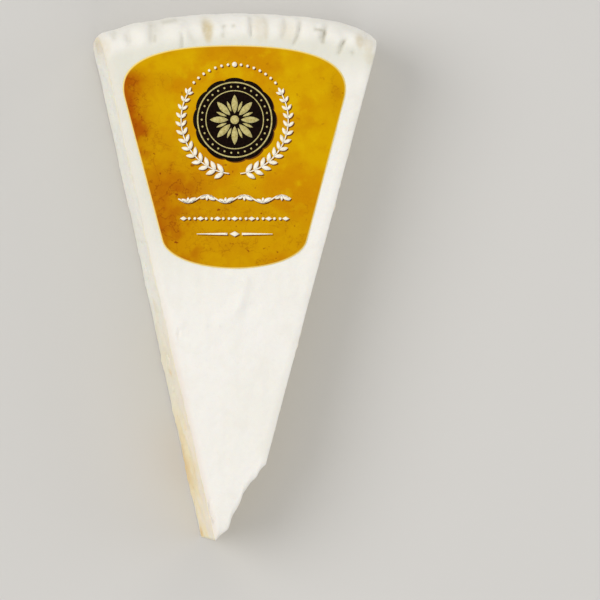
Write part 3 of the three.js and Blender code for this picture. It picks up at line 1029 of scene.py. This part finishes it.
def make_rind_material(group):
    """The rind: white bloom under painted shade beside the label and by the rim, painted shade with a pink
    cast where the left cut's edge rolls over, and, broken up by noise, painted shade in creases, nicks and
    dents and tan marks.
    """
    material, nodes = new_material("bloomy_rind")
    place = nodes.place()
    bloom, height = nodes.bloom(group, place)
    broken = nodes.span(nodes.noise(place, 500), 0.25, 0.6, 0.6, 1.0)
    tone = nodes.coats(
        bloom,
        # Painted shade beside the label's left edge and by the rim
        (nodes.value("painted_shade"), (228, 226, 213)),
        # Painted shade with a pink cast where the left cut's edge rolls over
        (nodes.value("tint"), (234, 224, 213)),
        # Painted shade in the creases, nicks and dents
        (nodes.times(nodes.value("painted_hollow_shade"), broken), (198, 193, 174)),
        (nodes.times(nodes.value("tan"), broken), (212, 197, 160)),
    )
    nodes.finish(tone, height, 0.35, 0.00025, {
        "Roughness": 0.82,
        "Specular IOR Level": 0.25,
        "Subsurface Weight": 0.12,
        "Subsurface Radius": (1.0, 0.8, 0.55),
        "Subsurface Scale": 0.0015,
        "Sheen Weight": 0.12,
        "Sheen Roughness": 0.5,
    })
    return material


def make_paste_material(group):
    """The paste: pale or warm cream; eyes and pits yellower and darker, partly their own tone and partly
    painted shade in their hollows; orange-brown, tan and smeared marks; and the rind's white bloom as a thin
    line along its edges, by the depth under the rind."""
    material, nodes = new_material("soft_paste")
    place = nodes.place()
    bloom, bloom_height = nodes.bloom(group, place)
    broad, fine = nodes.noise(place, 70), nodes.noise(place, 420)
    pale = nodes.coats(colour(244, 238, 216), (nodes.span(broad, 0.35, 0.65), (241, 233, 208)))
    warm = nodes.coats(colour(248, 234, 196), (nodes.span(broad, 0.35, 0.65), (244, 226, 182)))
    ragged = nodes.span(nodes.noise(place, 1100, 2), 0.25, 0.75, -0.28, 0.28)
    eye = nodes.span(nodes.math("ADD", nodes.value("eye"), ragged), 0.4, 0.62)
    pits = nodes.span(nodes.noise(place, 620, 1, 0.4), 0.7, 0.76)
    eye = nodes.math("MAXIMUM", eye, nodes.times(pits, 0.6))
    wander = nodes.span(nodes.noise(place, 220), 0.3, 0.7, -0.5, 0.6)
    depth = nodes.math("SUBTRACT", nodes.value("rind_depth"), wander)
    tone = nodes.coats(
        nodes.mix(nodes.value("warm"), pale, warm),
        (nodes.value("bloomed"), (242, 241, 231)),
        (nodes.span(fine, 0.55, 0.75, 0, 0.4), (246, 239, 218)),
        # Eyes and pits: yellower and darker, partly their own tone and partly painted shade in their hollows
        (nodes.times(eye, 0.6), (226, 202, 124)),
        (nodes.value("aged"), (226, 180, 96)),
        (nodes.value("tan"), (214, 198, 168)),
        (nodes.times(nodes.value("smear"), 0.85), (243, 233, 217)),
        (nodes.span(depth, 1.2, 3.4, 0.55, 0.0), (240, 226, 184)),
    )
    tone = nodes.mix(nodes.span(depth, 0.9, 1.5, 0.85, 0.0), tone, bloom)
    height = nodes.math("ADD", nodes.times(fine, 0.7), nodes.times(bloom_height, 0.4))
    height = nodes.math("SUBTRACT", height, nodes.times(eye, 0.9))
    nodes.finish(tone, height, 0.5, 0.0004, {
        "Roughness": nodes.span(depth, 0.9, 1.5, 0.8, 0.48),
        "Specular IOR Level": 0.4,
        "Subsurface Weight": 0.35,
        "Subsurface Radius": (1.0, 0.75, 0.4),
        "Subsurface Scale": 0.003,
    })
    return material


def make_paper_material():
    """The paper: mottled amber, browned where its values say, with dark veins and flecks that thicken with
    the browning, and a light line along its edge."""
    material, nodes = new_material("amber_paper")
    place = nodes.place()
    broad, patchy, fine = nodes.noise(place, 45, 4), nodes.noise(place, 170, 4), nodes.noise(place, 900, 3)
    wander = nodes.span(patchy, 0.3, 0.7, -0.4, 0.4)
    browned = nodes.math("ADD", nodes.value("browned"), nodes.times(wander, nodes.value("browned")))
    off_line = nodes.math("ABSOLUTE", nodes.math("SUBTRACT", nodes.noise(place, 210, 5, 0.6), 0.5))
    veins = nodes.times(nodes.span(off_line, 0.002, 0.02, 1, 0), nodes.span(browned, 0.1, 0.7, 0.04, 0.55))
    specks = nodes.span(nodes.noise(place, 430, 2), 0.67, 0.73)
    tone = nodes.coats(
        colour(212, 163, 0),
        (nodes.span(broad, 0.4, 0.62), (203, 139, 0)),
        (nodes.span(patchy, 0.5, 0.7, 0, 0.7), (218, 175, 2)),
        (nodes.span(patchy, 0.5, 0.3, 0, 0.35), (190, 122, 2)),
        (nodes.span(browned, 0.05, 0.9), (172, 88, 2)),
        (veins, (132, 54, 4)),
        (nodes.times(specks, nodes.span(browned, -0.1, 0.5, 0.2, 0.85)), (132, 46, 8)),
        (nodes.span(nodes.value("edge"), 0.004, 0.014, 1, 0), (252, 226, 130)),
    )
    nodes.finish(tone, fine, 0.25, 0.0001, {"Roughness": 0.5, "Specular IOR Level": 0.03})
    return material


def make_ink(name, first, second, roughness, gloss):
    """A printed colour, mottled a little between two tones."""
    material, nodes = new_material(name)
    grain = nodes.noise(nodes.place(), 1400, 3)
    tone = nodes.coats(colour(*first), (nodes.span(grain, 0.35, 0.7), second))
    nodes.finish(tone, grain, 0.2, 0.00005, {"Roughness": roughness, "Specular IOR Level": gloss})
    return material


def make_floor():
    """A wide square floor at the height that the wedge lies on."""
    mesh = bpy.data.meshes.new("floor")
    corners = [(x * FLOOR_REACH, y * FLOOR_REACH, 0) for x, y in ((-1, -1), (1, -1), (1, 1), (-1, 1))]
    mesh.from_pydata(corners, [], [(0, 1, 2, 3)])
    floor = bpy.data.objects.new("floor", mesh)
    bpy.context.scene.collection.objects.link(floor)
    material, nodes = new_material("pale_floor")
    tone = nodes.coats(colour(208, 206, 202), (nodes.noise(nodes.place(), 3), (211, 209, 205)))
    inputs = {"Base Color": tone, "Roughness": 0.9, "Specular IOR Level": 0.1}
    nodes.feed(material.node_tree.nodes["Principled BSDF"], inputs)
    mesh.materials.append(material)


# Camera and light

CAMERA_TARGET = (21.6, 91.2, 30)
CAMERA_PLACE = (-278.6, 98, 2030)
CAMERA_LENS = 404.5
CAMERA_SENSOR = 36
FLOOR_REACH = 10  # metres from its middle

# Lamps, as [name, where the light comes from, strength, spread in degrees, tint]
LAMPS = (
    ("key", (-1.35, 0.25, 1.25), 1.36, 38, (1.0, 0.985, 0.965)),
    ("back_fill", (0.2, 1.5, 1.0), 0.46, 45, (1.0, 1.0, 1.0)),
    ("front_fill", (0.5, -1.5, 0.9), 0.4, 45, (1.0, 0.995, 0.985)),
    ("right_fill", (1.5, 0.2, 0.55), 0.45, 45, (1.0, 0.99, 0.98)),
)
SKY_TINT = (0.97, 0.975, 0.985, 1)
SKY_STRENGTH = 0.545


def in_row(x, y, z):
    """A point of the plan in the row frame, in metres."""
    return Vector((x + PLAN_X, y + PLAN_Y, z)) * MM


def make_camera():
    """Looks down on the wedge with its +Y upright in the picture."""
    place = in_row(*CAMERA_PLACE)
    look = (in_row(*CAMERA_TARGET) - place).normalized()
    right = look.cross(Vector((0, 1, 0))).normalized()
    up = right.cross(look)
    data = bpy.data.cameras.new("camera")
    data.lens, data.sensor_width = CAMERA_LENS, CAMERA_SENSOR
    camera = bpy.data.objects.new("camera", data)
    turn = Matrix((right, up, -look)).transposed().to_4x4()
    camera.matrix_world = Matrix.Translation(place) @ turn
    bpy.context.scene.collection.objects.link(camera)
    bpy.context.scene.camera = camera


def make_lamp(name, place, strength, spread, tint):
    """A wide soft lamp far off in the direction of a place, so that the floor is lit evenly."""
    data = bpy.data.lights.new(name, "SUN")
    data.angle, data.energy, data.color = math.radians(spread), strength, tint
    lamp = bpy.data.objects.new(name, data)
    lamp.location = place
    lamp.rotation_euler = (-Vector(place)).to_track_quat("-Z", "Y").to_euler()
    bpy.context.scene.collection.objects.link(lamp)


def make_light():
    """Four wide lamps and an even pale sky."""
    for lamp in LAMPS:
        make_lamp(*lamp)
    world = bpy.data.worlds.new("studio")
    world.use_nodes = True
    background = world.node_tree.nodes["Background"]
    background.inputs["Color"].default_value = SKY_TINT
    background.inputs["Strength"].default_value = SKY_STRENGTH
    bpy.context.scene.world = world
    bpy.context.scene.view_settings.view_transform = "Standard"


make_camera()
make_light()
make_floor()

bloom = make_bloom_group()
wedge = make_wedge([make_rind_material(bloom), make_paste_material(bloom)])
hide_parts("cheese_wedge")
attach(wedge, "root")

label = make_label(make_paper_material())
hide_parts("label")
label_pieces = [label]
for name, add, *ink in PRINTS:
    skin = Skin()
    add(skin)
    label_pieces.append(skin.make(name, [make_ink(*ink)]))
for piece in label_pieces:
    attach(piece, "root")
